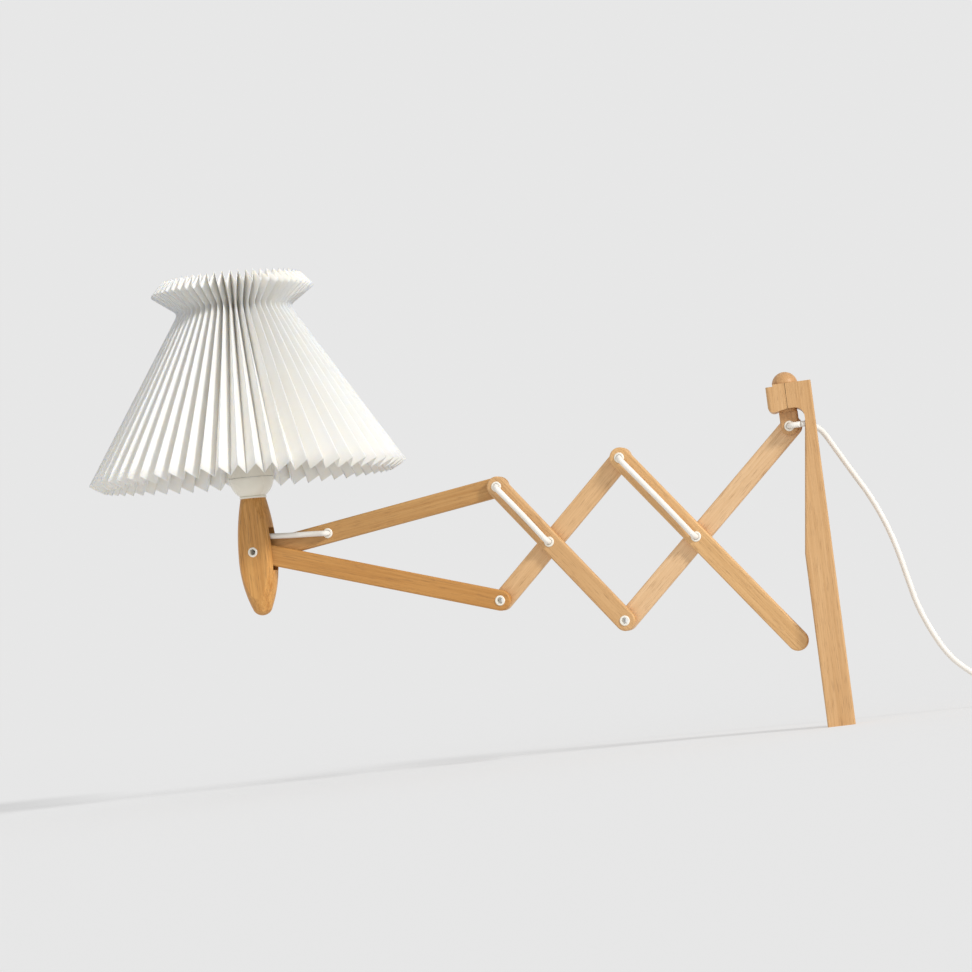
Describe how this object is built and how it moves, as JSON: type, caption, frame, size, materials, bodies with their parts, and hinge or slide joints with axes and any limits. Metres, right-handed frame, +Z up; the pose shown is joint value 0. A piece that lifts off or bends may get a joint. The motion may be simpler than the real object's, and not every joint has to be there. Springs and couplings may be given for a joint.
{
  "type": "accordion wall lamp",
  "caption": "Oak scissor-arm wall lamp that swivels on a wall bar, with a turned lamp holder, a pleated paper shade and a plug-in cord.",
  "frame": {"origin": "middle of the wall bar's back face, on the wall plane", "axes": "+Z up along the bar; +Y into the wall, so the lamp reaches along -Y, swung 10.4 degrees to the left of square as stored; +X to the side that shows the near arms"},
  "size_m": [0.3783, 0.8767, 0.4638],
  "materials": {
    "oak_bar": "satin",
    "oak_turned": "satin",
    "oak_arm": "satin",
    "beech": "satin",
    "eyelet_lacquer": "gloss",
    "cord_jacket": "matte",
    "socket_plastic": "gloss",
    "zinc_steel": "satin",
    "porcelain": "gloss",
    "brass": "satin",
    "bulb_metal": "satin",
    "opal_glass": "gloss",
    "white_wire": "satin",
    "shade_paper": "matte",
    "thread": "matte",
    "plug_metal": "satin"
  },
  "bodies": {
    "wall": {"wall_bar": "oak_bar", "head_block": "oak_bar", "head_dowels": "beech", "lead_in_neck": "cord_jacket", "free_cord": "cord_jacket", "cord_coil": "cord_jacket", "cord_tail": "cord_jacket", "plug_sleeve": "cord_jacket", "plug_body": "socket_plastic", "plug_pins": "plug_metal"},
    "swivel": {"swivel_pin": "oak_turned", "lead_at_pin": "cord_jacket"},
    "inner_far": {"arm_inner_far": "oak_arm", "eyelet_hanger": "eyelet_lacquer", "eyelet_inner_crossing": "eyelet_lacquer", "eyelet_lower_inner": "eyelet_lacquer", "lead_back_inner": "cord_jacket"},
    "inner_near": {"arm_inner_near": "oak_arm", "eyelet_upper_inner": "eyelet_lacquer", "lead_front_inner": "cord_jacket"},
    "outer_far": {"arm_outer_far": "oak_arm", "eyelet_outer_crossing": "eyelet_lacquer", "eyelet_lower_outer": "eyelet_lacquer", "lead_back_outer": "cord_jacket"},
    "outer_near": {"arm_outer_near": "oak_arm", "eyelet_upper_outer": "eyelet_lacquer", "lead_front_outer": "cord_jacket"},
    "upper_holder_arm": {"arm_upper_holder": "oak_arm", "eyelet_cord_port": "eyelet_lacquer", "lead_on_holder_arm": "cord_jacket", "lead_behind_holder_arm": "cord_jacket"},
    "lower_holder_arm": {"arm_lower_holder": "oak_arm"},
    "lamp_head": {"lamp_holder": "oak_turned", "eyelet_holder_near": "eyelet_lacquer", "eyelet_holder_rear": "eyelet_lacquer", "collar_ring": "socket_plastic", "socket_cup": "socket_plastic", "socket_cap": "socket_plastic", "nipple": "zinc_steel", "lock_nut": "zinc_steel", "socket_insert": "porcelain", "terminal_screws": "brass", "thread_shell": "brass", "centre_contact": "brass", "bulb_cap": "bulb_metal", "bulb_glass": "opal_glass", "shade_ring_lower": "socket_plastic", "shade_carrier": "white_wire", "pleated_shade": "shade_paper", "waist_thread": "thread", "lead_in_holder": "cord_jacket"}
  },
  "joints": [
    {"name": "swivel", "type": "hinge", "parent": "wall", "child": "swivel", "pos_m": [0, -0.022, 0.11], "axis": [0, 0, 1], "range_deg": [-35, 58]},
    {"name": "fold", "type": "hinge", "parent": "swivel", "child": "inner_far", "pos_m": [-0.0031, -0.02143, 0.11], "axis": [0.9836, -0.1805, 0], "range_deg": [-12, 16]},
    {"name": "inner_cross", "type": "hinge", "parent": "inner_far", "child": "inner_near", "pos_m": [-0.01985, -0.11271, 0.02775], "axis": [0.9836, -0.1805, 0], "range_deg": [-33, 25]},
    {"name": "upper_inner_joint", "type": "hinge", "parent": "inner_near", "child": "outer_far", "pos_m": [-0.03041, -0.17025, 0.10386], "axis": [0.9836, -0.1805, 0], "range_deg": [-25, 33]},
    {"name": "outer_cross", "type": "hinge", "parent": "outer_far", "child": "outer_near", "pos_m": [-0.04338, -0.24092, 0.04019], "axis": [0.9836, -0.1805, 0], "range_deg": [-33, 25]},
    {"name": "upper_outer_joint", "type": "hinge", "parent": "outer_near", "child": "upper_holder_arm", "pos_m": [-0.05086, -0.28168, 0.0941], "axis": [0.9836, -0.1805, 0], "range_deg": [-15, 20]},
    {"name": "lower_outer_joint", "type": "hinge", "parent": "outer_far", "child": "lower_holder_arm", "pos_m": [-0.05257, -0.29097, -0.00491], "axis": [0.9836, -0.1805, 0], "range_deg": [-20, 15]},
    {"name": "shade_tilt", "type": "hinge", "parent": "lower_holder_arm", "child": "lamp_head", "pos_m": [-0.0928, -0.51021, 0.06631], "axis": [0.9836, -0.1805, 0], "range_deg": [-6, 8]}
  ],
  "couplings": [
    {"joint": "inner_cross", "follows": "fold", "ratio": -2},
    {"joint": "upper_inner_joint", "follows": "fold", "ratio": 2},
    {"joint": "outer_cross", "follows": "fold", "ratio": -2},
    {"joint": "upper_outer_joint", "follows": "fold", "ratio": 1.197},
    {"joint": "lower_outer_joint", "follows": "fold", "ratio": -1.197}
  ]
}
